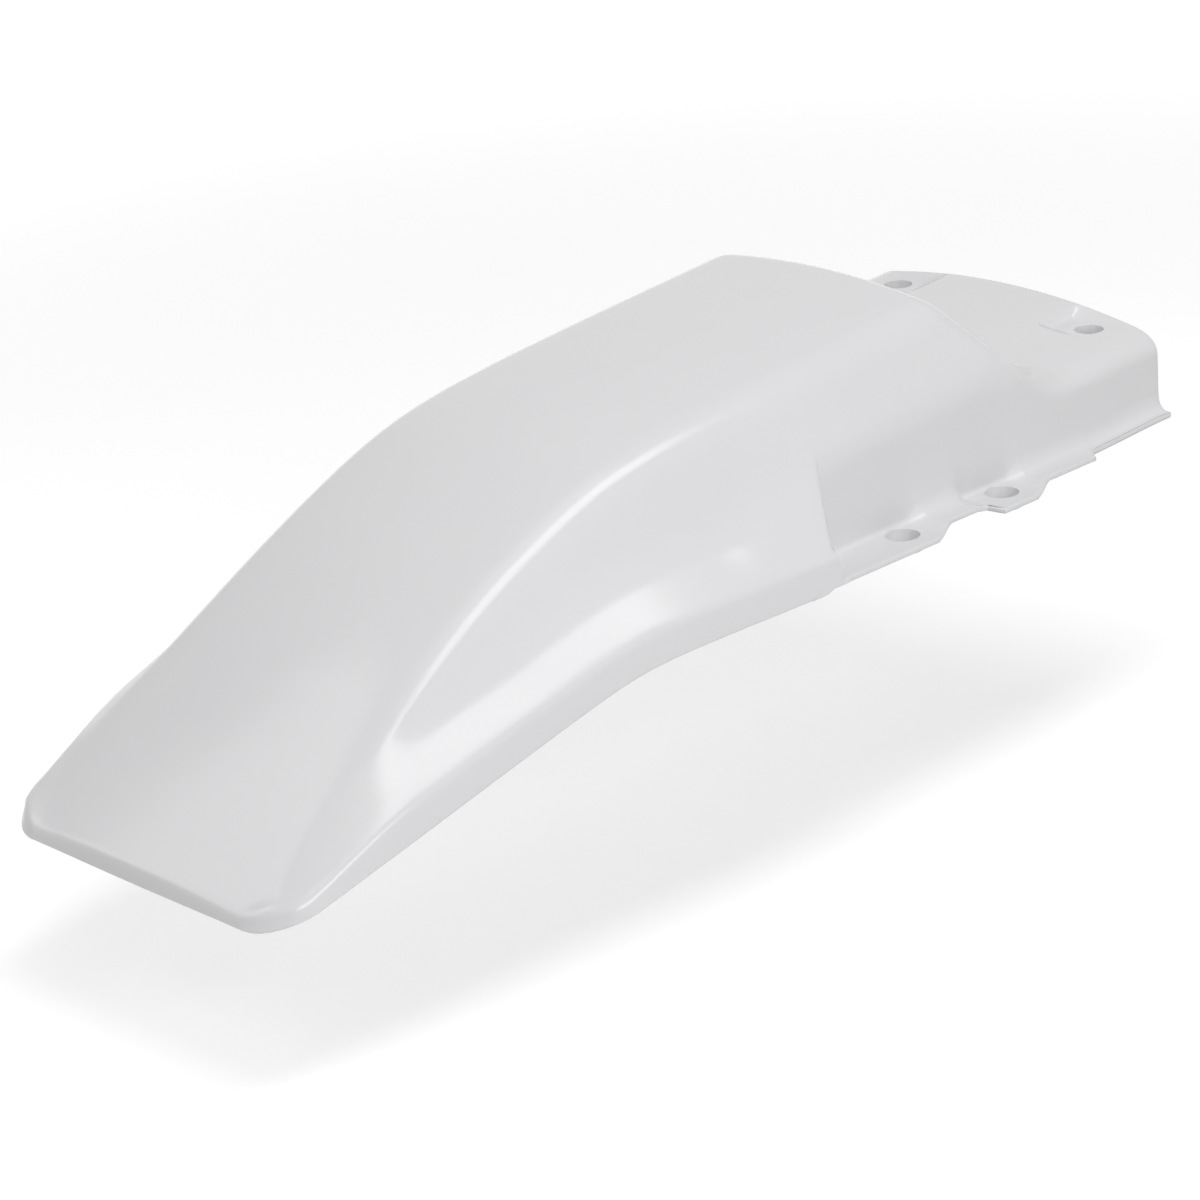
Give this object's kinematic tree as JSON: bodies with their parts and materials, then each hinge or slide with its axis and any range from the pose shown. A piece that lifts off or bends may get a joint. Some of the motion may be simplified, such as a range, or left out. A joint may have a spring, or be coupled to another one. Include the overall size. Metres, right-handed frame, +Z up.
{
  "type": "motorcycle rear fender",
  "caption": "White moulded rear fender for an off-road motorcycle: arched crown, sloped side flanges with a turned-down lip, and a stepped-down mounting section with bored tabs and pads.",
  "frame": {"origin": "middle of the side tabs' hole pattern, on the upper face of the tabs", "axes": "+X to the motorcycle's front, +Y to its left, +Z up, square to the side tabs"},
  "size_m": [0.6252, 0.265, 0.1745],
  "materials": {
    "white_plastic": "smooth moulded polypropylene with a soft gloss"
  },
  "bodies": {
    "root": {"fender": "white_plastic"}
  },
  "joints": []
}
